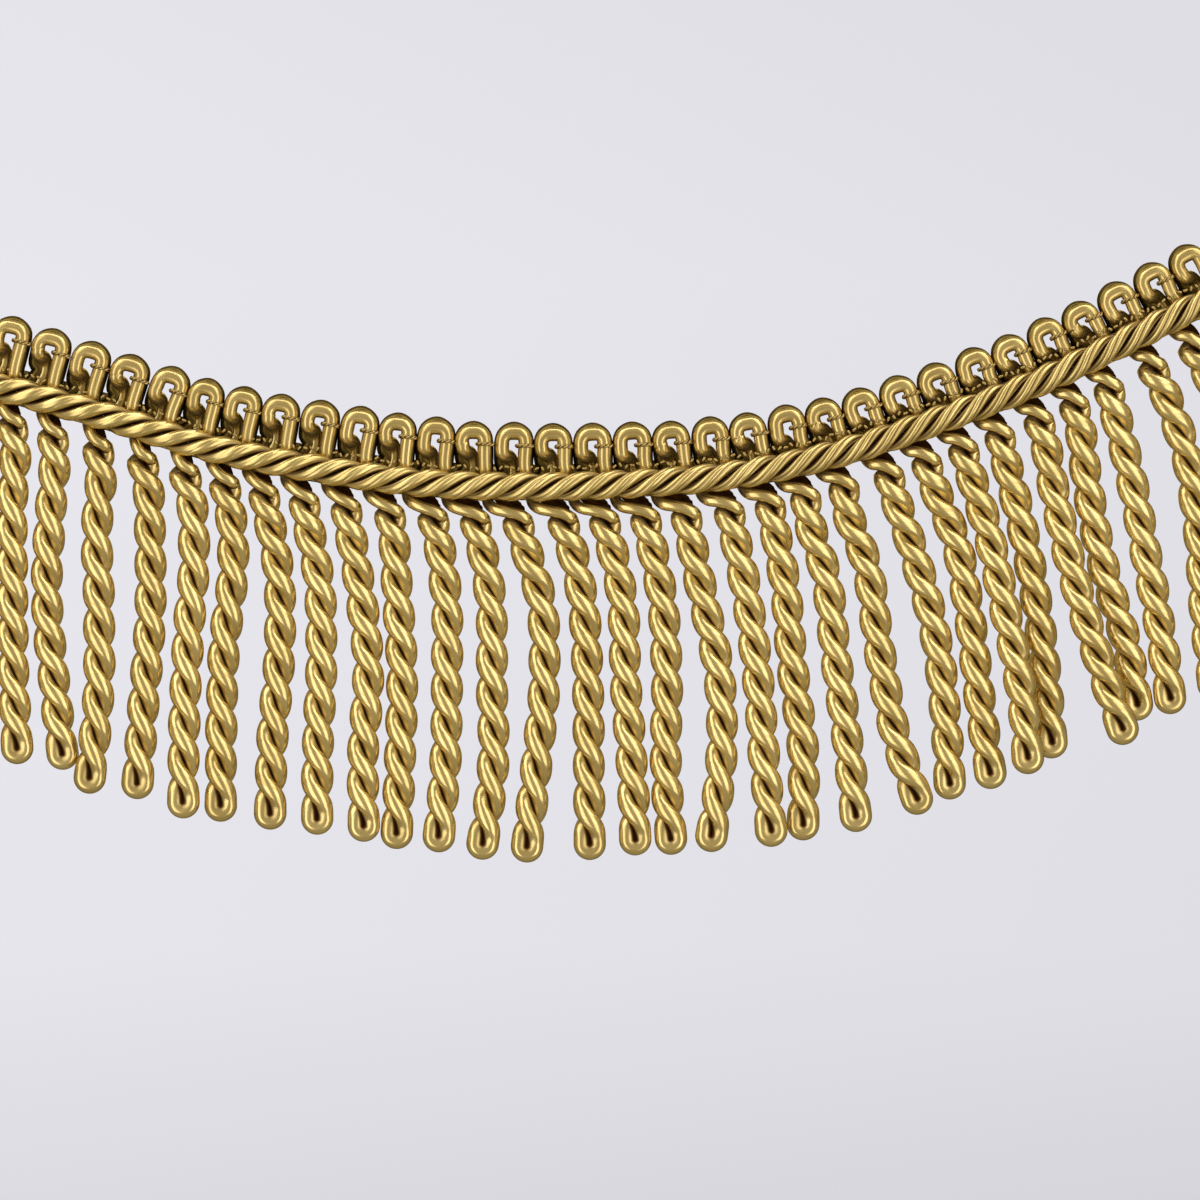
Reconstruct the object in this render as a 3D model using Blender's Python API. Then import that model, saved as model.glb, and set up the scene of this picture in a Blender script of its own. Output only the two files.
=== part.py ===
"""Cord fringe trim: a gold bullion fringe that hangs in a shallow swag.

The trim is a scalloped gimp heading, a three-ply rope sewn along it and a row of hanging
bullion cords. Each cord is one thick satin strand, folded in half and twisted on itself.

Frame: +Z is up, the front faces -Y, and the origin is at the crown of the middle scallop.
Sizes below are in millimetres and become metres when a mesh is made.
"""

import math

import bmesh
import bpy
import numpy as np

MM = 0.001
SHARP_ANGLE = 50
LINE_STEP = 0.5
PATH_POINTS = 160
BACKWARD = np.array((0.0, 1.0, 0.0))

# Heading line: the rope's centre line as it swags, and how far the scallops rise above it
SWAG_COLUMNS = ("x", "z", "crown")
SWAG_ROWS = (
    (-120, 9.8, 13.0),
    (-103, 5.9, 12.8),
    (-84, 0.7, 11.9),
    (-68, -4.2, 11.9),
    (-48, -8.2, 12.1),
    (-30, -10.6, 11.8),
    (-12, -11.3, 11.3),
    (6, -10.8, 10.9),
    (24, -9.3, 10.7),
    (42, -5.6, 10.3),
    (60, 0.3, 10.0),
    (78, 7.2, 10.1),
    (96, 15.8, 10.5),
    (120, 28.0, 11.0),
)

# Hanging cords, left to right: x where the cord passes behind the rope, how far it has
# drifted sideways at four depths below the rope's middle, x and z of its tip, and how far
# it bows to the back (+Y) on the way down
DRIFT_DEPTHS = (9, 19, 34, 49)
CORD_COLUMNS = ("root", "drift_9", "drift_19", "drift_34", "drift_49", "tip_x", "tip_z", "bow")
CORD_ROWS = (
    (-108.9, 2.0, 1.8, 1.2, 1.0, -107.4, -58.0, 0.0),
    (-101.6, 0.9, 0.3, 0.3, 0.5, -100.2, -59.6, -0.4),
    (-94.3, 0.5, -0.3, -1.0, 0.3, -92.2, -60.6, 0.4),
    (-86.3, 0.5, -0.2, 0.2, 0.1, -88.0, -64.7, -1.4),
    (-79.0, 1.2, 1.7, 1.7, 0.5, -79.7, -65.7, 0.0),
    (-72.0, 1.7, 2.4, 1.4, 0.7, -71.5, -69.0, -0.6),
    (-64.7, 1.2, 1.9, 0.3, -0.2, -65.0, -69.6, 0.2),
    (-57.8, 1.0, 2.8, 3.0, 1.8, -56.4, -71.0, -0.4),
    (-50.6, 0.7, 2.6, 3.1, 2.5, -48.2, -71.9, 0.0),
    (-43.3, 0.7, 2.4, 4.0, 3.1, -40.0, -73.1, -0.6),
    (-36.2, 1.2, 1.9, 2.8, 2.4, -34.5, -74.4, 0.2),
    (-28.9, 1.6, 3.1, 3.3, 3.0, -27.3, -74.9, -0.4),
    (-21.6, 1.7, 3.5, 3.8, 4.0, -19.8, -76.2, 0.0),
    (-14.3, 1.9, 4.9, 5.6, 4.2, -12.0, -76.7, -0.4),
    (-6.8, 2.4, 4.7, 5.7, 5.9, -0.7, -76.3, 0.0),
    (0.5, 2.1, 4.3, 5.0, 6.1, 7.3, -75.5, -0.4),
    (8.0, 1.6, 3.7, 4.7, 4.5, 13.6, -75.4, 0.2),
    (15.0, 1.6, 3.7, 6.8, 7.1, 20.0, -74.8, -1.0),
    (22.3, 1.9, 4.0, 6.1, 7.3, 31.1, -73.9, -1.6),
    (29.8, 1.4, 3.3, 4.7, 6.6, 36.4, -72.9, 0.4),
    (35.8, 1.4, 4.4, 6.3, 8.4, 45.9, -71.4, 0.0),
    (42.8, 1.0, 4.5, 6.8, 9.6, 57.1, -68.2, -1.9),
    (49.8, 2.3, 5.7, 9.7, 11.5, 62.1, -65.8, 0.4),
    (55.7, 3.1, 7.1, 9.9, 11.7, 69.4, -63.9, 0.0),
    (62.3, 2.8, 5.9, 9.2, 12.0, 75.5, -61.2, -3.8),
    (68.9, 2.4, 5.0, 8.0, 9.9, 79.9, -58.6, 0.5),
    (75.2, 3.1, 5.0, 8.4, 12.9, 92.6, -56.0, -4.4),
    (81.4, 3.0, 4.4, 7.3, 11.7, 95.0, -52.0, 0.5),
    (87.3, 3.1, 5.7, 8.7, 11.5, 100.7, -50.9, 0.0),
    (94.0, 4.9, 8.7, 11.3, 12.4, 108.1, -48.4, -0.4),
    (101.0, 5.2, 9.0, 11.5, 12.5, 115.0, -45.0, 0.0),
    (107.6, 5.2, 9.0, 11.5, 12.5, 121.6, -41.5, -0.4),
)

# Bullion cords
STRAND = 2.7
CORD_LONG = STRAND
CORD_SHORT = 2.0
HALF_TURN = 6.15
STEPS_PER_HALF_TURN = 4
FIRST_EYE = 4.2
LAST_EYE = 3.4
LOOP_SHOULDER = 1.2
SHOULDER_WIDTH = 0.9 * CORD_LONG
TIP_WIDTH = 0.5 * CORD_LONG
TIP_DEPTH = 0.6 * CORD_SHORT
CORD_Y = 0.6
SETTLE_DEPTH = 8.0

# Root strip, behind the rope
STRIP_FRONT = 0.25
STRIP_BACK = 2.25
STRIP_LOW = -2.3
STRIP_HIGH = 2.2
ROOT_DEPTH = 0.9
ROOT_WIDTH = 2.5

# Rope
ROPE_RADIUS = 2.6
ROPE_GROOVE = 1.75
ROPE_LAY = 15.7
ROPE_STEPS_PER_TURN = 9
ROPE_PLIES = 3
ROPE_Y = -2.7
ROPE_PHASE = 0.6

# Gimp loops
GIMP_WIDTH = 2.5
GIMP_DEPTH = 2.1
SCALLOP_PITCH = 7.04
FRONT_GIMP_Y = -1.2
BACK_GIMP_Y = 1.2
FRONT_HALF_WIDTH = 2.05
BACK_HALF_WIDTH = 2.15
FRONT_BELOW_CROWN = 1.2
FRONT_FOOT = 2.7
BACK_FOOT = 2.6
ARC_ANGLES = (180, 135, 90, 45, 0)

# Stitched band at the back of the heading
BAND_FRONT = 2.55
BAND_BACK = 3.55
BAND_LOW = -2.1
BAND_HIGH = 4.0

# Finish of each node: colour, roughness, metallic
FINISHES = {
    "bullion_fringe": ((0.55, 0.37, 0.11), 0.36, 0.15),
    "rope_cord": ((0.61, 0.42, 0.14), 0.38, 0.15),
    "gimp_front": ((0.57, 0.40, 0.13), 0.38, 0.15),
    "gimp_back": ((0.26, 0.18, 0.05), 0.45, 0.10),
    "stitch_band": ((0.36, 0.24, 0.07), 0.60, 0.00),
}


def smooth_curve(xs, ys, x):
    """Read a smooth curve through the points (xs, ys), with its slope taken from neighbours."""
    xs = np.asarray(xs, float)
    ys = np.asarray(ys, float)
    slopes = np.gradient(ys, xs)
    i = int(np.clip(np.searchsorted(xs, x) - 1, 0, len(xs) - 2))
    span = xs[i + 1] - xs[i]
    t = (x - xs[i]) / span
    return float(
        (2 * t**3 - 3 * t**2 + 1) * ys[i]
        + (t**3 - 2 * t**2 + t) * span * slopes[i]
        + (3 * t**2 - 2 * t**3) * ys[i + 1]
        + (t**3 - t**2) * span * slopes[i + 1]
    )


class HeadingLine:
    """The rope's centre line, read by its length along the swag from x = 0."""

    def __init__(self):
        rows = [dict(zip(SWAG_COLUMNS, row)) for row in SWAG_ROWS]
        stations = [row["x"] for row in rows]
        self.x = np.arange(stations[0], stations[-1] + LINE_STEP / 2, LINE_STEP)
        self.z = np.array([smooth_curve(stations, [row["z"] for row in rows], x) for x in self.x])
        self.crown = np.array([smooth_curve(stations, [row["crown"] for row in rows], x) for x in self.x])
        steps = np.hypot(np.diff(self.x), np.diff(self.z))
        length = np.concatenate(([0.0], np.cumsum(steps)))
        self.s = length - np.interp(0.0, self.x, length)
        self.slope = np.gradient(self.z, self.x)

    def s_at(self, x):
        return float(np.interp(x, self.x, self.s))

    def z_at(self, x):
        return float(np.interp(x, self.x, self.z))

    def crown_at(self, s):
        return float(np.interp(s, self.s, self.crown))

    def point(self, s, y, rise):
        """A point at depth y, a rise above the line, square to it."""
        x = np.interp(s, self.s, self.x)
        z = np.interp(s, self.s, self.z)
        angle = math.atan(np.interp(s, self.s, self.slope))
        return np.array((x - rise * math.sin(angle), y, z + rise * math.cos(angle)))


def add_ring(mesh, points):
    return [mesh.verts.new(point) for point in points]


def join_rings(mesh, first, second):
    count = len(first)
    for i in range(count):
        j = (i + 1) % count
        mesh.faces.new((first[i], first[j], second[j], second[i]))


def make_object(name, mesh):
    """Turn a bmesh in millimetres into a named object in metres, with its own finish."""
    bmesh.ops.recalc_face_normals(mesh, faces=mesh.faces)
    bmesh.ops.scale(mesh, vec=(MM, MM, MM), verts=mesh.verts)
    data = bpy.data.meshes.new(name)
    mesh.to_mesh(data)
    mesh.free()
    data.shade_smooth()
    data.set_sharp_from_angle(angle=math.radians(SHARP_ANGLE))
    colour, roughness, metallic = FINISHES[name]
    material = bpy.data.materials.new(name)
    material.use_nodes = True
    shader = material.node_tree.nodes["Principled BSDF"]
    shader.inputs["Base Color"].default_value = (*colour, 1.0)
    shader.inputs["Roughness"].default_value = roughness
    shader.inputs["Metallic"].default_value = metallic
    data.materials.append(material)
    thing = bpy.data.objects.new(name, data)
    bpy.context.scene.collection.objects.link(thing)
    return thing


def sweep(name, rings):
    """One closed body through a row of rings, with a flat cap on each end."""
    mesh = bmesh.new()
    made = [add_ring(mesh, ring) for ring in rings]
    for first, second in zip(made, made[1:]):
        join_rings(mesh, first, second)
    mesh.faces.new(made[0])
    mesh.faces.new(made[-1])
    return make_object(name, mesh)


def cord_path(line, row, start):
    """Points down the middle of one hanging cord, from its root to its tip."""
    top_z = line.z_at(row["root"])
    depths = (top_z - start[2], *DRIFT_DEPTHS, top_z - row["tip_z"])
    drifts = (start[0] - row["root"], row["drift_9"], row["drift_19"], row["drift_34"], row["drift_49"],
              row["tip_x"] - row["root"])
    points = []
    for depth in np.linspace(depths[0], depths[-1], PATH_POINTS):
        settle = min((depth - depths[0]) / (SETTLE_DEPTH - depths[0]), 1.0)
        lean = (depth - depths[0]) / (depths[-1] - depths[0])
        y = start[1] + (CORD_Y - start[1]) * settle + row["bow"] * lean * lean * (3 - 2 * lean)
        points.append((row["root"] + smooth_curve(depths, drifts, depth), y, top_z - depth))
    return np.array(points)


def cord_rings(path):
    """Diamond sections that turn with the twist, wide at each eye between the plies."""
    length = np.concatenate(([0.0], np.cumsum(np.linalg.norm(np.diff(path, axis=0), axis=1))))
    total = length[-1]
    twisted = total - FIRST_EYE - LAST_EYE
    half_turns = round(twisted / HALF_TURN)
    step = twisted / half_turns / STEPS_PER_HALF_TURN
    turn = math.pi / STEPS_PER_HALF_TURN
    sections = []
    for i in range(-1, half_turns * STEPS_PER_HALF_TURN + 1):
        sections.append((FIRST_EYE + i * step, i * turn, CORD_LONG, CORD_SHORT))
    last_phase = sections[-1][1]
    sections.append((total - LOOP_SHOULDER, last_phase, SHOULDER_WIDTH, CORD_SHORT))
    sections.append((total, last_phase, TIP_WIDTH, TIP_DEPTH))
    tangents = np.gradient(path, length, axis=0)
    rings = []
    for s, phase, long_half, short_half in sections:
        centre = np.array([np.interp(s, length, path[:, axis]) for axis in range(3)])
        down = np.array([np.interp(s, length, tangents[:, axis]) for axis in range(3)])
        across = np.cross(down, BACKWARD)
        across /= np.linalg.norm(across)
        back = np.cross(across, down / np.linalg.norm(down))
        wide = math.cos(phase) * across + math.sin(phase) * back
        thin = -math.sin(phase) * across + math.cos(phase) * back
        rings.append((centre + long_half * wide, centre + short_half * thin,
                      centre - long_half * wide, centre - short_half * thin))
    return rings


def strip_ring(line, s, front, back, low, high):
    """Cross-section of a flat strip at a length along the heading line."""
    corners = ((front, low), (back, low), (back, high), (front, high))
    return [line.point(s, y, rise) for y, rise in corners]


def cell_edges(line, rows):
    """Where the strip's cells meet, half way between one root and the next."""
    roots = [line.s_at(row["root"]) for row in rows]
    middles = [(a + b) / 2 for a, b in zip(roots, roots[1:])]
    return [2 * roots[0] - middles[0], *middles, 2 * roots[-1] - middles[-1]]


def make_bullion_fringe(line, rows, edges):
    """The root strip, cell by cell, with one cord growing out of the bottom of each cell."""
    mesh = bmesh.new()
    strip = (STRIP_FRONT, STRIP_BACK, STRIP_LOW, STRIP_HIGH)
    frames = [add_ring(mesh, strip_ring(line, s, *strip)) for s in edges]
    mesh.faces.new(frames[0])
    mesh.faces.new(frames[-1])
    for row, left, right in zip(rows, frames, frames[1:]):
        for side in (1, 2, 3):
            after = (side + 1) % 4
            mesh.faces.new((left[side], left[after], right[after], right[side]))
        floor = (left[0], right[0], right[1], left[1])
        start = np.mean([vert.co[:] for vert in floor], axis=0)
        along = np.array(right[0].co) - np.array(left[0].co)
        along /= np.linalg.norm(along)
        # The root ring lies in the strip's floor: front, right, back and left points
        spokes = (-ROOT_DEPTH * BACKWARD, ROOT_WIDTH * along, ROOT_DEPTH * BACKWARD, -ROOT_WIDTH * along)
        root = add_ring(mesh, [start + spoke for spoke in spokes])
        for i in range(4):
            j = (i + 1) % 4
            mesh.faces.new((floor[i], floor[j], root[i]))
            mesh.faces.new((floor[j], root[j], root[i]))
        ring = root
        for points in cord_rings(cord_path(line, row, start)):
            lower = add_ring(mesh, points)
            join_rings(mesh, ring, lower)
            ring = lower
        mesh.faces.new(ring)
    return make_object("bullion_fringe", mesh)


def make_rope(line, start, end):
    """Three plies laid up together: a lobed section that turns as it runs along."""
    count = round((end - start) / ROPE_LAY * ROPE_STEPS_PER_TURN)
    rings = []
    for s in np.linspace(start, end, count + 1):
        turn = ROPE_PHASE + 2 * math.pi * s / ROPE_LAY
        ring = []
        for i in range(2 * ROPE_PLIES):
            angle = turn + i * math.pi / ROPE_PLIES
            radius = ROPE_GROOVE if i % 2 else ROPE_RADIUS
            ring.append(line.point(s, ROPE_Y + radius * math.sin(angle), radius * math.cos(angle)))
        rings.append(ring)
    return sweep("rope_cord", rings)


def gimp_stations(line, first, last, half_width, crown_gap, foot):
    """Middle of a gimp strand as it goes up, over and down one scallop after another."""
    half_strand = GIMP_WIDTH / 2
    stations = []
    for k in range(first, last + 1):
        middle = k * SCALLOP_PITCH
        top = line.crown_at(middle) - crown_gap - half_strand
        turn_low = foot + half_strand
        turn_radius = SCALLOP_PITCH / 2 - half_width
        shoulder = top - half_width
        stations.append((middle - half_width, turn_low + turn_radius))
        for angle in ARC_ANGLES:
            across = half_width * math.cos(math.radians(angle))
            rise = half_width * math.sin(math.radians(angle))
            stations.append((middle + across, shoulder + rise))
        stations.append((middle + half_width, turn_low + turn_radius))
        if k < last:
            stations.append((middle + SCALLOP_PITCH / 2, turn_low))
    return stations


def make_gimp(name, line, y, stations):
    """A strand of diamond section along the stations (length along the line, rise above it)."""
    points = [line.point(s, y, rise) for s, rise in stations]
    rings = []
    for i, point in enumerate(points):
        before = points[max(i - 1, 0)]
        after = points[min(i + 1, len(points) - 1)]
        run = (after - before) / np.linalg.norm(after - before)
        side = GIMP_WIDTH / 2 * np.cross(run, BACKWARD)
        back = GIMP_DEPTH / 2 * BACKWARD
        rings.append((point + side, point + back, point - side, point - back))
    return sweep(name, rings)


def make_band(line, start, end):
    """The flat stitched band that binds the heading at its back."""
    count = round((end - start) / SCALLOP_PITCH)
    band = (BAND_FRONT, BAND_BACK, BAND_LOW, BAND_HIGH)
    return sweep("stitch_band", [strip_ring(line, s, *band) for s in np.linspace(start, end, count + 1)])


def main():
    for thing in list(bpy.data.objects):
        bpy.data.objects.remove(thing, do_unlink=True)
    line = HeadingLine()
    rows = [dict(zip(CORD_COLUMNS, row)) for row in CORD_ROWS]
    edges = cell_edges(line, rows)
    start, end = edges[0], edges[-1]
    make_bullion_fringe(line, rows, edges)
    make_rope(line, start, end)
    make_band(line, start, end)
    first = math.ceil((start + FRONT_HALF_WIDTH) / SCALLOP_PITCH)
    last = math.floor((end - FRONT_HALF_WIDTH) / SCALLOP_PITCH)
    front = gimp_stations(line, first, last, FRONT_HALF_WIDTH, FRONT_BELOW_CROWN, FRONT_FOOT)
    make_gimp("gimp_front", line, FRONT_GIMP_Y, front)
    back = gimp_stations(line, first, last, BACK_HALF_WIDTH, 0.0, BACK_FOOT)
    make_gimp("gimp_back", line, BACK_GIMP_Y, back)


main()
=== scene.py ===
"""Cord fringe trim: the looks of a gold bullion fringe that hangs in a shallow swag.

Every satin strand is modelled: the folded and twisted bullion cords, the three-ply rope, both
layers of gimp loops, the stitching threads, and the woven tapes that bind them at the back.

Sizes are in millimetres in the frame's axes: +Z is up, the front faces -Y, and the origin is
at the crown of the middle scallop. They become metres when a mesh is made.
"""

import math

import bpy
import numpy as np
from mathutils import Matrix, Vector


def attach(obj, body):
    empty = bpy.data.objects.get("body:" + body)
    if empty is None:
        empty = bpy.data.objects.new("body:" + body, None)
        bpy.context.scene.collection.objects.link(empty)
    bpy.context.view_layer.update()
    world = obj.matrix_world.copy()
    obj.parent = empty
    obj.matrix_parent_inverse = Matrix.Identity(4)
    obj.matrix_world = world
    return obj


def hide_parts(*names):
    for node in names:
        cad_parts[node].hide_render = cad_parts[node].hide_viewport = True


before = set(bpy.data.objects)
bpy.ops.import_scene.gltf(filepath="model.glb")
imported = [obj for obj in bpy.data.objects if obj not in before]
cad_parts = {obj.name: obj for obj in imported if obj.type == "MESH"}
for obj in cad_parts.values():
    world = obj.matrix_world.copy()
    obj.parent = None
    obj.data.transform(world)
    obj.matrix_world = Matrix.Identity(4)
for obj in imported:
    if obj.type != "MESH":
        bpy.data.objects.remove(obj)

MM = 0.001
BACKWARD = np.array((0.0, 1.0, 0.0))
FRONTWARD = -BACKWARD
UPWARD = np.array((0.0, 0.0, 1.0))

# Smooth paths: points on each span before they are spaced evenly, and the fewest stations
SPAN_POINTS = 12
FEWEST_STATIONS = 4

# Heading line: the rope's centre line as it swags, and how far the scallops rise above it
LINE_STEP = 0.5
SWAG_COLUMNS = ("x", "z", "crown")
SWAG_ROWS = (
    (-120, 9.8, 13.0),
    (-103, 5.9, 12.8),
    (-84, 0.7, 11.9),
    (-68, -4.2, 11.9),
    (-48, -8.2, 12.1),
    (-30, -10.6, 11.8),
    (-12, -11.3, 11.3),
    (6, -10.8, 10.9),
    (24, -9.3, 10.7),
    (42, -5.6, 10.3),
    (60, 0.3, 10.0),
    (78, 7.2, 10.1),
    (96, 15.8, 10.5),
    (120, 28.0, 11.0),
)

# Hanging cords, left to right: x where the cord passes behind the rope, how far it has
# drifted sideways at four depths below the rope's middle, x and z of its tip, and how far
# it bows to the back (+Y), or to the front where that is negative, on the way down
DRIFT_DEPTHS = (9, 19, 34, 49)
CORD_COLUMNS = ("root", "drift_9", "drift_19", "drift_34", "drift_49", "tip_x", "tip_z", "bow")
CORD_ROWS = (
    (-108.9, 2.0, 1.8, 1.2, 1.0, -107.4, -58.0, 0.0),
    (-101.6, 0.9, 0.3, 0.3, 0.5, -100.2, -59.6, -0.4),
    (-94.3, 0.5, -0.3, -1.0, 0.3, -92.2, -60.6, 0.4),
    (-86.3, 0.5, -0.2, 0.2, 0.1, -88.0, -64.7, -1.4),
    (-79.0, 1.2, 1.7, 1.7, 0.5, -79.7, -65.7, 0.0),
    (-72.0, 1.7, 2.4, 1.4, 0.7, -71.5, -69.0, -0.6),
    (-64.7, 1.2, 1.9, 0.3, -0.2, -65.0, -69.6, 0.2),
    (-57.8, 1.0, 2.8, 3.0, 1.8, -56.4, -71.0, -0.4),
    (-50.6, 0.7, 2.6, 3.1, 2.5, -48.2, -71.9, 0.0),
    (-43.3, 0.7, 2.4, 4.0, 3.1, -40.0, -73.1, -0.6),
    (-36.2, 1.2, 1.9, 2.8, 2.4, -34.5, -74.4, 0.2),
    (-28.9, 1.6, 3.1, 3.3, 3.0, -27.3, -74.9, -0.4),
    (-21.6, 1.7, 3.5, 3.8, 4.0, -19.8, -76.2, 0.0),
    (-14.3, 1.9, 4.9, 5.6, 4.2, -12.0, -76.7, -0.4),
    (-6.8, 2.4, 4.7, 5.7, 5.9, -0.7, -76.3, 0.0),
    (0.5, 2.1, 4.3, 5.0, 6.1, 7.3, -75.5, -0.4),
    (8.0, 1.6, 3.7, 4.7, 4.5, 13.6, -75.4, 0.2),
    (15.0, 1.6, 3.7, 6.8, 7.1, 20.0, -74.8, -1.0),
    (22.3, 1.9, 4.0, 6.1, 7.3, 31.1, -73.9, -1.6),
    (29.8, 1.4, 3.3, 4.7, 6.6, 36.4, -72.9, 0.4),
    (35.8, 1.4, 4.4, 6.3, 8.4, 45.9, -71.4, 0.0),
    (42.8, 1.0, 4.5, 6.8, 9.6, 57.1, -68.2, -1.9),
    (49.8, 2.3, 5.7, 9.7, 11.5, 62.1, -65.8, 0.4),
    (55.7, 3.1, 7.1, 9.9, 11.7, 69.4, -63.9, 0.0),
    (62.3, 2.8, 5.9, 9.2, 12.0, 75.5, -61.2, -3.8),
    (68.9, 2.4, 5.0, 8.0, 9.9, 79.9, -58.6, 0.5),
    (75.2, 3.1, 5.0, 8.4, 12.9, 92.6, -56.0, -4.4),
    (81.4, 3.0, 4.4, 7.3, 11.7, 95.0, -52.0, 0.5),
    (87.3, 3.1, 5.7, 8.7, 11.5, 100.7, -50.9, 0.0),
    (94.0, 4.9, 8.7, 11.3, 12.4, 108.1, -48.4, -0.4),
    (101.0, 5.2, 9.0, 11.5, 12.5, 115.0, -45.0, 0.0),
    (107.6, 5.2, 9.0, 11.5, 12.5, 121.6, -41.5, -0.4),
)

# Bullion cords: the section of the strand, and how far its two plies lie from the middle,
# sideways and in depth. Where they press on each other, the inner half of each is wider,
# deeper and flatter.
STRAND_RADIUS = 1.22
PLY_OFFSET = 1.66
PLY_DEPTH = 1.30
PRESSED_WIDTH = 1.22
PRESSED_DEPTH = 1.45
PRESSED_FLAT = 0.72

# Their twist: the length of a half turn, how far the first eye is from the root and the last
# one from the tip, how much shorter the first half turn is, over what length the twist eases
# to a stop, and the shape of the plies' sway
HALF_TURN = 6.15
FIRST_EYE = 4.3
LAST_EYE = 4.1
FIRST_TURN_SHORTER = 0.8
TWIST_EASE = 1.5
SWAY_GAIN = 1.03
SWAY_SQUARE = 0.055

# How they hang: the y that they settle to and the depth where they do, and how far the first
# eye stands in front of that, which they lose over FORWARD_LENGTH
CORD_Y = 0.6
SETTLE_DEPTH = 8.0
EYE_FORWARD = 1.5
FORWARD_LENGTH = 12.0

# Unevenness along each strand: share of its radius, and length of the wave
SLOW_SWELL = (0.018, 3.1)
QUICK_SWELL = (0.012, 1.3)
QUICK_SWELL_SHIFT = 2.1

# Fineness of the cords, how far apart two cords read the fibres, and the seed of their shades
CORD_SIDES = 20
CORD_STEP = 0.45
AXIS_POINTS = 240
LOOP_POINTS = 22
CORD_FIBRE_SHIFT = 47.0
SHADE_SEED = 11

# Root of each cord: stations of its two legs, counted from the first eye as (along, y, rise).
# The front leg is laid over the back one, which goes up behind the rope.
FRONT_LEG = (
    (-6.6, 2.0, 4.4), (-6.1, 0.6, 3.3), (-4.9, -0.6, 2.5), (-3.0, -1.1, 2.1),
    (-1.4, -1.2, 1.85), (-0.1, -1.15, 1.6), (0.95, -0.95, 1.15), (1.52, -0.55, 0.6),
)
BACK_LEG = (
    (-4.2, 2.5, 5.0), (-3.2, 2.5, 4.1), (-1.8, 2.4, 3.5), (-0.4, 1.9, 2.5), (-0.8, 1.2, 1.1),
)
EYE_LEAD = 0.35

# Left of the eye both legs turn with the heading, all the way at LEG_TURNS, and are higher
# and shorter the steeper it is
LEG_TURNS = 5.0
LEG_LIFT = 1.9
LEG_SHORTER = 0.14
LEG_SHORTER_ON_SLOPE = 1.3

# The front leg is thinner than the cord, and gets its full and pressed section over
# PRESSED_AFTER below the eye. The back leg is in the shadow of the rope.
LEG_TAPER = 0.17
PRESSED_AT_EYE = 0.35
PRESSED_AFTER = 3.5
LEG_SHADOW = 1.6

# Root strip, a woven tape behind the rope
STRIP_FRONT = 0.25
STRIP_BACK = 2.25
STRIP_LOW = -2.3
STRIP_HIGH = 2.2
STRIP_RIBS = 5
STRIP_PICK = 1.4
STRIP_STEP = 0.35

# Stitched band at the back of the heading, a woven tape too
BAND_FRONT = 2.55
BAND_BACK = 3.55
BAND_LOW = -2.1
BAND_HIGH = 4.0
BAND_RIBS = 7
BAND_PICK = 1.1
BAND_STEP = 0.28

# Both tapes: height of their ribs, points across each rib, how far the picks of the weft
# break them, and how far apart their fibres are read across the ribs
RIB_RELIEF = 0.18
RIB_POINTS = 4
PICK_DEPTH = 0.4
TAPE_FIBRES = 0.8

# Rope: its lay, and the section and the place of its plies. Each ply keeps to its own sector,
# and has painted shade towards the sector's edge, where it meets the next ply.
ROPE_LAY = 15.7
ROPE_PLIES = 3
ROPE_Y = -2.7
ROPE_PHASE = 0.6
ROPE_STEP = 0.5
ROPE_SHADE = 0.2
PLY_CENTRE = 1.38
PLY_RADIUS = 1.22
PLY_WIDTH = 1.38
PLY_SECTOR = math.radians(58.5)
PLY_SECTOR_EDGE = 8
PLY_SIDES = 50
PLY_FIBRES = 1.14
PLY_FIBRE_SHIFT = 300
PLY_PAINTED_SHADE_FROM = 0.62
PLY_PAINTED_SHADE_LENGTH = 0.3

# Strands of a ply: they turn slowly round it, and their grooves get deeper from CLEAR_FROM
# to the right, with painted shade in them that gets darker the same way
PLY_STRANDS = 5
STRAND_SWING = 0.5
STRAND_WAVE = 9.0
STRAND_SHIFT = 2.1
STRAND_TURN = 0.05
CLEAR_FROM = -75
CLEAR_LENGTH = 130
GROOVE_DEPTH = 0.05
GROOVE_DEPTH_CLEAR = 0.22
GROOVE_PAINTED_SHADE = 0.85

# Gimp strands
SCALLOP_PITCH = 7.04
GIMP_RADIUS = 1.24
GIMP_SIDES = 16
GIMP_STEP = 0.4
FRONT_HALF_WIDTH = 2.05

# Gimp loops: stations of one scallop as (along from its middle, y, rise), for the front layer
# and the back one. A rise is counted from the hook for the feet in, from the strand's top for
# the crown, and from the rope's middle for the feet out.
FRONT_FEET_IN = (
    (-0.2, 1.6, -4.2), (-0.2, 1.5, -1.9), (-0.7, 0.7, -0.6),
    (-1.4, -0.35, -0.35), (-1.9, -1.15, 0.1), (-2.03, -1.3, 0.95),
)
FRONT_CROWN = (
    (-2.08, -1.3, -2.1), (-1.95, -1.35, -0.9), (-1.2, -1.4, -0.1), (0.0, -1.4, 0.08),
    (1.2, -1.4, -0.05), (1.95, -1.35, -0.8), (2.05, -1.3, -2.1),
)
FRONT_FEET_OUT = (
    (1.98, -1.2, 4.3), (2.15, -0.9, 2.6), (2.5, 0.1, 1.2), (3.4, 1.25, 0.6), (5.4, 1.5, 0.6),
)
BACK_FEET_IN = ((-1.2, 1.5, -4.0), (-2.1, 1.35, -2.6), (-2.25, 1.25, -0.7))
BACK_CROWN = (
    (-2.25, 1.25, -2.1), (-1.6, 1.2, -0.7), (0.0, 1.2, 0.0), (1.6, 1.2, -0.7), (2.25, 1.25, -2.1),
)
BACK_FEET_OUT = ((2.25, 1.25, 4.3), (2.1, 1.35, 2.4), (1.9, 1.5, 0.6), (3.4, 1.6, 0.0))

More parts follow.
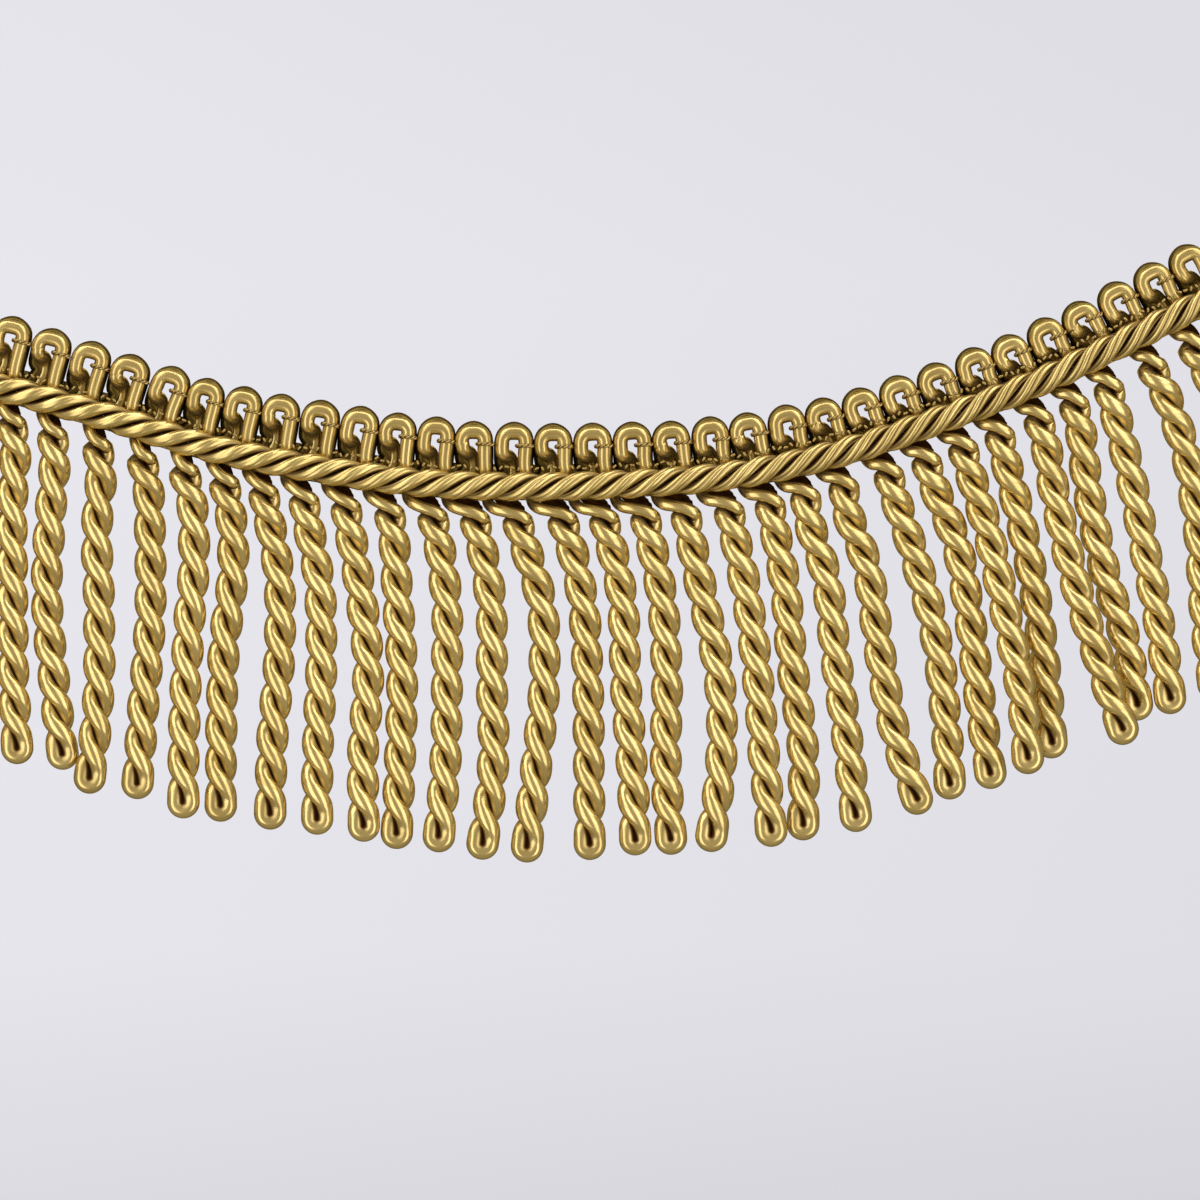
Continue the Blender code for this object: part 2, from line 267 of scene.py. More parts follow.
# A layer of loops: its stations and how far below the line of crowns it stays, and shades
FRONT_LAYER = (FRONT_FEET_IN, FRONT_CROWN, FRONT_FEET_OUT, 0.9)
BACK_LAYER = (BACK_FEET_IN, BACK_CROWN, BACK_FEET_OUT, 0.0)
FRONT_SHADE = 0.3
BACK_SHADE = 0.0

# How the loops differ: the hook's place below the top with its change from loop to loop, and
# the crown's wobbles as (size, rate, start)
HOOK_DROP = 3.3
HOOK_VARIES = 0.4
HOOK_BEAT = (3.5, 0.8, 1.7)
WOBBLES = ((0.10, 2.7, 0), (0.06, 5.1, 1))

# Two-ply sewing thread, its rows across the back of the band as (rise, start of its turns),
# and the stitch round each loop's right leg
THREAD_RADIUS = 0.21
THREAD_TURN = 1.7
THREAD_STEPS = 9
THREAD_SIDES = 6
THREAD_INSET = 2
BACK_ROW_STEP = 0.25
BACK_ROWS = ((-1.2, 2.0), (1.0, 3.0), (3.2, 4.0))
LEG_STITCH_X = 2.0
LEG_STITCH_Y = -1.25
LEG_STITCH_RADIUS = 1.4
LEG_STITCH_DROP = 4.2
LEG_STITCH_ARC = np.radians(np.arange(-25, 206, 10))

# Small stitches at the foot of the loops, further forward from BEAD_FORWARD_FROM to the right
BEAD_PITCH = 1.05
BEAD_LENGTH = 0.4
BEAD_RADIUS = 0.27
BEAD_Y = -1.7
BEAD_FORWARD = 0.7
BEAD_FORWARD_FROM = 5
BEAD_FORWARD_LENGTH = 25
BEAD_RISE = 3.2
BEAD_VARIES = 0.22
BEAD_BEAT = (1.7, 1.0, 0.9)
BEAD_LEAN = 1.2
BEAD_LEAN_RATE = 2.4

# Every strand: the domes at its ends, and how far round it the painted shade of its hidden
# side, where it meets the next strand, begins and is fully dark, as a cosine
DOME_ANGLES = (84, 60, 32)
CONTACT_FROM = 0.2
CONTACT_TO = 0.6

# Seam between the two yarns of a gimp strand, along its outer line: a shallow groove with painted
# shade in it
GIMP_SEAM = 0.8
SEAM_DEPTH = 0.07
SEAM_WIDTH = 0.13
SEAM_PAINTED_SHADE = 0.6
SEAM_PACKED = 0.55

# Satin of all yarns. A noise is (scale along and across the yarn, detail, roughness), and a
# tone is the range of noise that is read and what it becomes.
METALLIC = 0.9
SPECULAR = 0.3
SPECULAR_TINT = (0.32, 0.25, 0.11, 1.0)
FIBRE_NOISE = ((0.12, 3.0, 3.0), 2.5, 0.5)
DRIFT_NOISE = ((0.11, 0.5, 0.5), 2.0, 0.5)
FIBRE_TONE = (0.32, 0.62, 0.35, 0.85)
DRIFT_TONE = (0.35, 0.65, -0.15, 0.2)
SHADE_TONE = 0.12
FIBRE_GLOSS = (0.3, 0.7)
GLOSS_SPREAD = (0.06, -0.05)
# Painted shade: its deep brown colour, and how much rougher the yarn is under it
PAINTED_SHADE_COLOUR = (0.085, 0.032, 0.006)
PAINTED_SHADE_ROUGHER = 0.35
FIBRE_BUMP = 0.00012

# Looks of the yarns: colour, deep colour, roughness, and how plain their fibres are
CORD_LOOK = ((0.80, 0.625, 0.28), (0.56, 0.41, 0.145), 0.225, 0.03)
ROPE_LOOK = ((0.77, 0.595, 0.25), (0.51, 0.37, 0.12), 0.27, 0.05)
GIMP_LOOK = ((0.74, 0.565, 0.235), (0.46, 0.33, 0.105), 0.27, 0.05)
# Back layer of loops: the gimp yarn again, painted much darker as painted shade, where it lies behind
# the front layer
GIMP_BACK_PAINTED_SHADE_LOOK = ((0.15, 0.105, 0.028), (0.075, 0.052, 0.011), 0.36, 0.1)
THREAD_LOOK = ((0.50, 0.37, 0.15), (0.26, 0.18, 0.055), 0.36, 0.1)

# Camera: the middle and the width of the view, its distance, and the sensor
VIEW_X = 1.04
VIEW_Z = -30.97
VIEW_WIDTH = 208.8
VIEW_DISTANCE = 1100.0
SENSOR = 36.0
CLIP_START = 0.05

# Lights: name, place, width and height in metres, power in watts
LIGHTS = (
    ("light_left", (-0.45, -0.60, -0.08), (0.46, 1.00), 2.3),
    ("light_right", (0.45, -0.60, -0.08), (0.46, 1.00), 2.3),
    ("light_upper_left", (-0.46, -0.36, 0.56), (0.46, 0.50), 1.4),
    ("light_upper_right", (0.46, -0.36, 0.56), (0.46, 0.50), 1.4),
    ("light_top", (0.0, -0.13, 0.74), (1.20, 0.20), 2.4),
    ("light_behind", (0.0, 0.90, 0.25), (0.80, 0.60), 2.2),
)
LIGHT_COLOUR = (1.0, 0.98, 0.95)
LIGHT_AIM = (0.0, 0.0, -0.03)

# Fill light of the room: its colour, and its strength from in front to behind
FILL_COLOUR = (1.0, 0.92, 0.68, 1.0)
FILL_RANGE = (-1.0, 1.0, 0.40, 0.28)

# Backdrop: how bright it is at each height of the look, from its foot to its top, where a
# level look is at BACKDROP_LEVEL, and how that changes from left to right
BACKDROP = ((0.406, 0.70), (0.445, 0.775), (0.55, 0.79), (0.595, 0.765))
BACKDROP_LEVEL = 0.5
BACKDROP_TINT = (1.0, 0.99, 1.05)
BACKDROP_ACROSS = (-0.1, 0.1, 1.025, 0.955)


def ease(t):
    """A smooth step from 0 to 1."""
    t = np.clip(t, 0.0, 1.0)
    return t * t * (3 - 2 * t)


def uneven(k, rate, sway, sway_rate):
    """A value from -1 to 1 that changes from one loop or stitch to the next."""
    return math.sin(rate * k + sway * math.sin(sway_rate * k))


def unit(vectors):
    """Vectors of length one."""
    return vectors / np.linalg.norm(vectors, axis=-1, keepdims=True)


def arc_length(points):
    """Length along a row of points, from the first one."""
    return np.concatenate(([0.0], np.cumsum(np.linalg.norm(np.diff(points, axis=0), axis=1))))


def read_along(points, length, s):
    """Points at the lengths s along a row of points."""
    axes = range(points.shape[1])
    return np.stack([np.interp(s, length, points[:, axis]) for axis in axes], axis=1)


def smooth_curve(xs, ys, x):
    """Read a smooth curve through the points (xs, ys), with its slope taken from neighbours."""
    xs = np.asarray(xs, float)
    ys = np.asarray(ys, float)
    slopes = np.gradient(ys, xs)
    i = np.clip(np.searchsorted(xs, x) - 1, 0, len(xs) - 2)
    span = xs[i + 1] - xs[i]
    t = (x - xs[i]) / span
    return (
        (2 * t**3 - 3 * t**2 + 1) * ys[i]
        + (t**3 - 2 * t**2 + t) * span * slopes[i]
        + (3 * t**2 - 2 * t**3) * ys[i + 1]
        + (t**3 - t**2) * span * slopes[i + 1]
    )


def smooth_path(points, step):
    """A smooth path through given points, with evenly spaced stations."""
    points = np.asarray(points, float)
    knots = np.arange(len(points))
    fine = np.linspace(0, len(points) - 1, SPAN_POINTS * (len(points) - 1) + 1)
    dense = np.stack([smooth_curve(knots, points[:, axis], fine) for axis in range(3)], axis=1)
    length = arc_length(dense)
    many = max(FEWEST_STATIONS, round(length[-1] / step))
    return read_along(dense, length, np.linspace(0, length[-1], many))


class HeadingLine:
    """The rope's centre line, read by its length along the swag from x = 0."""

    def __init__(self):
        rows = [dict(zip(SWAG_COLUMNS, row)) for row in SWAG_ROWS]
        stations = [row["x"] for row in rows]
        self.x = np.arange(stations[0], stations[-1] + LINE_STEP / 2, LINE_STEP)
        self.z = smooth_curve(stations, [row["z"] for row in rows], self.x)
        self.crown = smooth_curve(stations, [row["crown"] for row in rows], self.x)
        length = np.concatenate(([0.0], np.cumsum(np.hypot(np.diff(self.x), np.diff(self.z)))))
        self.s = length - np.interp(0.0, self.x, length)
        self.slope = np.gradient(self.z, self.x)

    def s_at(self, x):
        return float(np.interp(x, self.x, self.s))

    def angle_at(self, x):
        return math.atan(np.interp(x, self.x, self.slope))

    def z_at(self, x):
        return float(np.interp(x, self.x, self.z))

    def crown_at(self, s):
        return np.interp(s, self.s, self.crown)

    def points(self, s, y, rise):
        """Points at depth y and a rise above the line, square to it."""
        s = np.asarray(s, float)
        x = np.interp(s, self.s, self.x)
        z = np.interp(s, self.s, self.z)
        angle = np.arctan(np.interp(s, self.s, self.slope))
        return np.stack((x - rise * np.sin(angle), y + 0 * x, z + rise * np.cos(angle)), axis=-1)


class Skin:
    """Rings of points gathered into one mesh. Each point keeps its place along and round its
    yarn, so that the fibres follow it, a shade, and how much painted shade it has where strands
    meet or shadow falls."""

    def __init__(self):
        self.points = []
        self.faces = []
        self.yarn = []
        self.shades = []
        self.painted_shade = []
        self.count = 0

    def add(self, rings, along, around, shade, painted_shade=0.0):
        """Close rings of points (rings, points, 3) into a body with a flat cap on each end."""
        many, sides = rings.shape[:2]
        first = self.count + np.arange(many - 1)[:, None] * sides
        j = np.arange(sides)[None, :]
        after = (j + 1) % sides
        quads = np.stack((first + j, first + after, first + sides + after, first + sides + j), axis=-1)
        self.faces.extend(quads.reshape(-1, 4).tolist())
        self.faces.append((self.count + np.arange(sides)[::-1]).tolist())
        self.faces.append((self.count + (many - 1) * sides + np.arange(sides)).tolist())
        self.points.append(rings.reshape(-1, 3))
        self.yarn.append(np.stack((
            np.broadcast_to(along[:, None], (many, sides)),
            np.broadcast_to(np.cos(around) * STRAND_RADIUS, (many, sides)),
            np.broadcast_to(np.sin(around) * STRAND_RADIUS, (many, sides)),
        ), axis=-1).reshape(-1, 3))
        self.shades.append(np.broadcast_to(shade, (many, sides)).reshape(-1))
        self.painted_shade.append(np.broadcast_to(painted_shade, (many, sides)).reshape(-1))
        self.count += many * sides

    def tube(self, centres, outward, radius, sides, yarn_start=0.0, shade=0.0, contact=0.0,
             shadow=0.0, pressed=0.0, seam=0.0):
        """A strand along the centres, with domed ends. outward points away from what it lies
        on, pressed is how far it has its pressed section at each point, contact how dark the
        painted shade on its hidden side is, shadow how dark the painted shadow on all of it is at
        each point, and seam how plain the line between its two yarns is, a shallow groove with
        painted shade in it."""
        shadow, pressed = (
            np.pad(np.broadcast_to(value, len(centres)), len(DOME_ANGLES), "edge")[:, None]
            for value in (shadow, pressed)
        )
        centres, outward, radius = domed(centres, outward, np.broadcast_to(radius, len(centres)))
        tangent = unit(np.gradient(centres, axis=0))
        outward = unit(outward - tangent * np.sum(outward * tangent, axis=1, keepdims=True))
        side = np.cross(tangent, outward)
        around = 2 * math.pi * np.arange(sides) / sides
        if seam:
            around = around - SEAM_PACKED * np.sin(around)
        line = seam * np.exp(-((2 * np.sin(around / 2) / SEAM_WIDTH) ** 2))
        inner = np.clip(-np.cos(around), 0, 1)
        flat = -PRESSED_DEPTH * inner**PRESSED_FLAT
        out = np.where(inner > 0, (1 - pressed) * np.cos(around) + pressed * flat, np.cos(around))
        out = out - SEAM_DEPTH * line
        wide = (1 + (PRESSED_WIDTH - 1) * pressed) * np.sin(around)
        spokes = out[:, :, None] * outward[:, None, :] + wide[:, :, None] * side[:, None, :]
        rings = centres[:, None, :] + radius[:, None, None] * spokes
        # Painted shade: dark on the hidden side where strands meet, along the seam, and where shadow
        # falls
        painted_shade = contact * ease((-np.cos(around) - CONTACT_FROM) / (CONTACT_TO - CONTACT_FROM))
        painted_shade = np.maximum(painted_shade, SEAM_PAINTED_SHADE * line)
        painted_shade = np.maximum(painted_shade[None, :], shadow)
        self.add(rings, yarn_start + arc_length(centres), around[None, :], shade, painted_shade)

    def make(self, name, material, node):
        """The finished piece, in metres, on the frame's root body."""
        mesh = bpy.data.meshes.new(name)
        mesh.from_pydata(np.concatenate(self.points) * MM, [], self.faces)
        mesh.shade_smooth()
        mesh.materials.append(material)
        yarn = mesh.attributes.new("yarn", "FLOAT_VECTOR", "POINT")
        yarn.data.foreach_set("vector", np.concatenate(self.yarn).astype(np.float32).ravel())
        shade = mesh.attributes.new("shade", "FLOAT", "POINT")
        shade.data.foreach_set("value", np.concatenate(self.shades).astype(np.float32))
        painted_shade = mesh.attributes.new("painted_shade", "FLOAT", "POINT")
        painted_shade.data.foreach_set("value", np.concatenate(self.painted_shade).astype(np.float32))
        piece = bpy.data.objects.new(name, mesh)
        bpy.context.scene.collection.objects.link(piece)
        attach(piece, "root")
        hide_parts(node)


def domed(centres, outward, radius):
    """Add shrinking rings past both ends of a strand, so that each ends in a dome."""
    heads = []
    for end, inner in ((0, 1), (-1, -2)):
        away = unit(centres[end] - centres[inner])
        angles = np.radians(DOME_ANGLES)[:, None]
        heads.append((
            centres[end] + away * radius[end] * np.sin(angles), radius[end] * np.cos(angles[:, 0])
        ))
    (start, start_radius), (finish, finish_radius) = heads
    many = len(DOME_ANGLES)
    first, last = (np.repeat(row[None, :], many, axis=0) for row in (outward[0], outward[-1]))
    return (
        np.concatenate((start, centres, finish[::-1])),
        np.concatenate((first, outward, last)),
        np.concatenate((start_radius, radius, finish_radius[::-1])),
    )


# Bullion cords

def cord_axis(line, row, start):
    """Points down the middle of one hanging cord, from its root to its tip."""
    top_z = line.z_at(row["root"])
    depths = (top_z - start[2], *DRIFT_DEPTHS, top_z - row["tip_z"])
    drifts = (
        start[0] - row["root"],
        *(row[f"drift_{depth}"] for depth in DRIFT_DEPTHS),
        row["tip_x"] - row["root"],
    )
    depth = np.linspace(depths[0], depths[-1], AXIS_POINTS)
    settle = np.minimum((depth - depths[0]) / (SETTLE_DEPTH - depths[0]), 1.0)
    lean = (depth - depths[0]) / (depths[-1] - depths[0])
    y = start[1] + (CORD_Y - start[1]) * settle + row["bow"] * lean * lean * (3 - 2 * lean)
    return np.stack((row["root"] + smooth_curve(depths, drifts, depth), y, top_z - depth), axis=1)


def twist_phase(s, last_eye, half_turns, twisted):
    """How far the two plies have turned round each other: the first half turn is a little
    shorter, and the twist eases to a stop at the end loop."""
    before = s - last_eye
    eased = -((TWIST_EASE - before) ** 2) / (4 * TWIST_EASE)
    before = np.where(before < -TWIST_EASE, before, np.where(before > TWIST_EASE, 0.0, eased))
    before = before + FIRST_TURN_SHORTER * (ease((s - FIRST_EYE) / HALF_TURN) - 1)
    return math.pi * half_turns * (1 + before / twisted)


def root_leg(side, stations, slope, eye, at_eye, heading, across):
    """One leg of a cord's root, from the root strip to the first eye, and what is outward
    along it."""
    upper = []
    for along, y, rise in stations:
        turn = slope * min(max(-along / LEG_TURNS, 0), 1)
        rise += LEG_LIFT * abs(turn)
        along -= (LEG_SHORTER + LEG_SHORTER_ON_SLOPE * abs(slope)) * min(along, 0)
        upper.append(eye + np.array((
            along * math.cos(turn) - rise * math.sin(turn),
            y,
            along * math.sin(turn) + rise * math.cos(turn),
        )))
    upper = smooth_path((*upper, at_eye - EYE_LEAD * heading, at_eye), CORD_STEP)[:-1]
    fade = np.linspace(0, 1, len(upper))[:, None] ** 2
    return upper, unit((1 - fade) * (FRONTWARD * side + UPWARD) + fade * side * across)


def make_cord(line, row, left, right, material, name, shade, seed):
    """One thick satin strand that leaves the root strip, hangs down, turns back in a loop at
    the tip and twists round itself on the way up."""
    edges = line.points(np.array((left, right)), (STRIP_FRONT + STRIP_BACK) / 2, STRIP_LOW)
    axis = cord_axis(line, row, edges.mean(axis=0))
    length = arc_length(axis)
    total = length[-1]
    last_eye = total - LAST_EYE
    twisted = last_eye - FIRST_EYE + FIRST_TURN_SHORTER
    half_turns = round(twisted / HALF_TURN)
    loop_centre = total - PLY_OFFSET - STRAND_RADIUS

    # The two plies, one on each side of a centre line
    s = np.linspace(FIRST_EYE, loop_centre, round((loop_centre - FIRST_EYE) / CORD_STEP))
    centre = read_along(axis, length, s)
    centre[:, 1] -= EYE_FORWARD * (1 - ease((s - FIRST_EYE) / FORWARD_LENGTH))
    down = unit(np.gradient(centre, axis=0))
    across = unit(np.cross(down, BACKWARD))
    back = np.cross(across, down)
    phase = twist_phase(s, last_eye, half_turns, twisted)[:, None]
    sway = SWAY_GAIN * (np.cos(phase) - SWAY_SQUARE * np.cos(3 * phase))
    offset = PLY_OFFSET * sway * across + PLY_DEPTH * np.sin(phase) * back
    aside = unit(offset)

    # Their legs up to the root strip
    phase_rate = math.pi * half_turns / twisted
    slope = line.angle_at(row["root"])
    eye = centre[0]
    legs = []
    for side, stations in ((1, FRONT_LEG), (-1, BACK_LEG)):
        heading = unit(down[0] + side * PLY_DEPTH * phase_rate * back[0])
        at_eye = eye + side * offset[0]
        upper, outward = root_leg(side, stations, slope, eye, at_eye, heading, across[0])
        legs.append((
            np.concatenate((upper, centre + side * offset)),
            np.concatenate((outward, side * aside)),
        ))
    (front, front_outward), (rear, rear_outward) = legs
    over = len(front) - len(s)
    under = len(rear) - len(s)

    # The loop at the tip, and all of it as one strand
    bend = np.linspace(0, math.pi, LOOP_POINTS)[1:-1, None]
    loop_outward = np.cos(bend) * aside[-1] + np.sin(bend) * down[-1]
    loop = centre[-1] + np.linalg.norm(offset[-1]) * loop_outward
    path = np.concatenate((front, loop, rear[::-1]))
    outward = np.concatenate((front_outward, loop_outward, rear_outward[::-1]))

    settled = ease(PRESSED_AT_EYE + (s - FIRST_EYE) / PRESSED_AFTER)
    pressed = np.concatenate((
        settled[0] * ease(np.linspace(-1, 1, over)),
        settled,
        np.ones(len(loop) + len(s)),
        ease(np.linspace(1, 0, under)),
    ))
    run = arc_length(path)
    swell = 1.0
    for (size, wave), shift in ((SLOW_SWELL, 1), (QUICK_SWELL, QUICK_SWELL_SHIFT)):
        swell = swell + size * np.sin(run / wave + shift * seed)
    swell[:over + len(s)] -= LEG_TAPER * (1 - pressed[:over + len(s)])
    shadow = np.zeros(len(path))
    shadow[-under:] = ease(np.linspace(0, LEG_SHADOW, under))
    skin = Skin()
    skin.tube(path, outward, STRAND_RADIUS * swell, CORD_SIDES, CORD_FIBRE_SHIFT * seed, shade,
              contact=1.0, shadow=shadow, pressed=pressed)
    skin.make(name, material, "bullion_fringe")


def make_cords(line, material):
    """All hanging cords, and where along the heading the first begins and the last ends."""
    rows = [dict(zip(CORD_COLUMNS, row)) for row in CORD_ROWS]
    roots = [line.s_at(row["root"]) for row in rows]
    middles = [(a + b) / 2 for a, b in zip(roots, roots[1:])]
    edges = [2 * roots[0] - middles[0], *middles, 2 * roots[-1] - middles[-1]]
    rng = np.random.default_rng(SHADE_SEED)
    for number, (row, left, right) in enumerate(zip(rows, edges, edges[1:]), start=1):
        name = f"bullion_cord_{number:02d}"
        make_cord(line, row, left, right, material, name, rng.uniform(-1, 1), number)
    return edges[0], edges[-1]


# Rope

def make_rope(line, start, end, material):
    """Three plies laid up together, each of finer strands that show more towards the right."""
    stations = np.linspace(start, end, round((end - start) / ROPE_STEP))
    around = 2 * math.pi * np.arange(PLY_SIDES)[None, :] / PLY_SIDES
    groove = (1 - np.abs(np.sin(PLY_STRANDS / 2 * around))) ** 2
    skin = Skin()
    for ply in range(ROPE_PLIES):
        s = stations[:, None]
        clear = np.clip((s - CLEAR_FROM) / CLEAR_LENGTH, 0, 1)
        drift = STRAND_SWING * np.sin(s / STRAND_WAVE + STRAND_SHIFT * ply) + STRAND_TURN * s
        relief = 1 - (GROOVE_DEPTH + GROOVE_DEPTH_CLEAR * clear) * groove
        out = PLY_CENTRE + PLY_RADIUS * relief * np.cos(around - drift)
        wide = PLY_WIDTH * relief * np.sin(around - drift)
        lean = np.arctan2(wide, out)
        past = (np.abs(lean) / PLY_SECTOR) ** PLY_SECTOR_EDGE
        lean = lean / (1 + past) ** (1 / PLY_SECTOR_EDGE)
        radius = np.hypot(out, wide)
        angle = ROPE_PHASE + 2 * math.pi * (s / ROPE_LAY + ply / ROPE_PLIES) + lean
        rings = line.points(
            np.broadcast_to(s, angle.shape), ROPE_Y + radius * np.sin(angle), radius * np.cos(angle)
        )
        # Painted shade where each ply meets the next and in the grooves between its strands
        hidden = ease((np.abs(lean) / PLY_SECTOR - PLY_PAINTED_SHADE_FROM) / PLY_PAINTED_SHADE_LENGTH)
        painted_shade = np.maximum(hidden, GROOVE_PAINTED_SHADE * clear * groove)
        along = PLY_FIBRES * stations + PLY_FIBRE_SHIFT * ply
        skin.add(rings, along, around, ROPE_SHADE, painted_shade)
    skin.make("rope_cord_plies", material, "rope_cord")


# Gimp loops

def gimp_path(line, first, last, feet_in, crown, feet_out, below_crown):
    """A gimp strand as it goes up, over and down one scallop after another."""
    stations = []
    for k in range(first, last + 1):
        middle = k * SCALLOP_PITCH
        top = line.crown_at(middle) - below_crown - GIMP_RADIUS
        wobble = sum(size * math.sin(rate * k + begin) for size, rate, begin in WOBBLES)
        hook = top - HOOK_DROP + HOOK_VARIES * uneven(k, *HOOK_BEAT)
        for along, y, rise in feet_in:
            stations.append((middle + along, y, hook + rise))
        for along, y, rise in crown:
            stations.append((middle + along + wobble, y, top + rise + wobble))
        for along, y, rise in feet_out:
            stations.append((middle + along, y, rise))
    along, y, rise = np.transpose(smooth_path(stations, GIMP_STEP))
    return line.points(along, y, rise)


def make_gimp(line, first, last, material, name, node, layer, shade):
    """One layer of loops, from the first scallop to the last."""
    path = gimp_path(line, first, last, *layer)
    outward = np.broadcast_to(FRONTWARD, path.shape)
    skin = Skin()
    skin.tube(path, outward, GIMP_RADIUS, GIMP_SIDES, shade=shade, seam=GIMP_SEAM)
    skin.make(name, material, node)


# Stitching and tapes

def add_thread(skin, path, seed):
    """A fine two-ply thread, which shows as a row of small beads."""
    length = arc_length(path)
    s = np.linspace(0, length[-1], round(length[-1] / THREAD_TURN * THREAD_STEPS))
    centre = read_along(path, length, s)
    along = unit(np.gradient(centre, axis=0))
    across = unit(np.cross(along, BACKWARD))
    back = np.cross(across, along)
    phase = (2 * math.pi * s / THREAD_TURN + seed)[:, None]
    aside = np.cos(phase) * across + np.sin(phase) * back
    for side in (1, -1):
        ply = centre + side * THREAD_RADIUS * aside
        skin.tube(ply, side * aside, THREAD_RADIUS, THREAD_SIDES)


def make_threads(line, start, end, material):
    """Stitching: a row of small stitches at the foot of the loops, one stitch round each
    loop's right leg, and three rows across the back of the band."""
    skin = Skin()
    start_row, end_row = start + THREAD_INSET, end - THREAD_INSET
    ends = np.array((-0.5, 0.5)) * BEAD_LENGTH
    for k, middle in enumerate(np.arange(start_row, end_row, BEAD_PITCH)):
        lean = BEAD_LEAN * math.sin(BEAD_LEAN_RATE * k)
        forward = BEAD_FORWARD * ease((middle - BEAD_FORWARD_FROM) / BEAD_FORWARD_LENGTH)
        rise = BEAD_RISE + BEAD_VARIES * uneven(k, *BEAD_BEAT)
        bead = line.points(
            middle + ends * math.cos(lean), BEAD_Y - forward, rise + ends * math.sin(lean)
        )
        skin.tube(bead, np.array((FRONTWARD, FRONTWARD)), BEAD_RADIUS, THREAD_SIDES)
    first_loop = math.ceil(start / SCALLOP_PITCH) + 1
    for k in range(first_loop, math.floor(end / SCALLOP_PITCH)):
        middle = k * SCALLOP_PITCH + LEG_STITCH_X
        stitch = line.points(
            middle + LEG_STITCH_RADIUS * np.cos(LEG_STITCH_ARC),
            LEG_STITCH_Y - LEG_STITCH_RADIUS * np.sin(LEG_STITCH_ARC),
            line.crown_at(middle) - LEG_STITCH_DROP,
        )
        add_thread(skin, stitch, k)
    s = np.arange(start_row, end_row, BACK_ROW_STEP)
    for rise, seed in BACK_ROWS:
        add_thread(skin, line.points(s, BAND_BACK + THREAD_RADIUS, rise), seed)
    skin.make("heading_threads", material, "stitch_band")


def add_tape(skin, line, start, end, front, back, low, high, ribs, pick, step):
    """A woven tape: ribs along it, broken by the picks of its weft."""
    s = np.linspace(start, end, round((end - start) / step))[:, None]
    up = np.linspace(low, high, RIB_POINTS * ribs + 1)
    face = np.concatenate((up, up[::-1]))[None, :]
    facing = np.concatenate((np.full(len(up), -1.0), np.full(len(up), 1.0)))[None, :]
    rib = (face - low) / (high - low) * ribs
    picks = np.cos(2 * math.pi * s / pick + math.pi * np.floor(rib))
    bump = RIB_RELIEF * np.abs(np.sin(math.pi * rib)) * (1 - PICK_DEPTH + PICK_DEPTH * picks)
    y = np.where(facing < 0, front + RIB_RELIEF, back - RIB_RELIEF) + facing * bump
    rings = line.points(np.broadcast_to(s, y.shape), y, face)
    skin.add(rings, s[:, 0], TAPE_FIBRES * face, 0.0)


def make_tapes(line, start, end, material):
    """The stitched band and the root strip."""
    band = Skin()
    add_tape(band, line, start, end, BAND_FRONT, BAND_BACK, BAND_LOW, BAND_HIGH,
             BAND_RIBS, BAND_PICK, BAND_STEP)
    band.make("back_band", material, "stitch_band")
    strip = Skin()
    add_tape(strip, line, start, end, STRIP_FRONT, STRIP_BACK, STRIP_LOW, STRIP_HIGH,
             STRIP_RIBS, STRIP_PICK, STRIP_STEP)
    strip.make("root_strip", material, "bullion_fringe")


# Materials

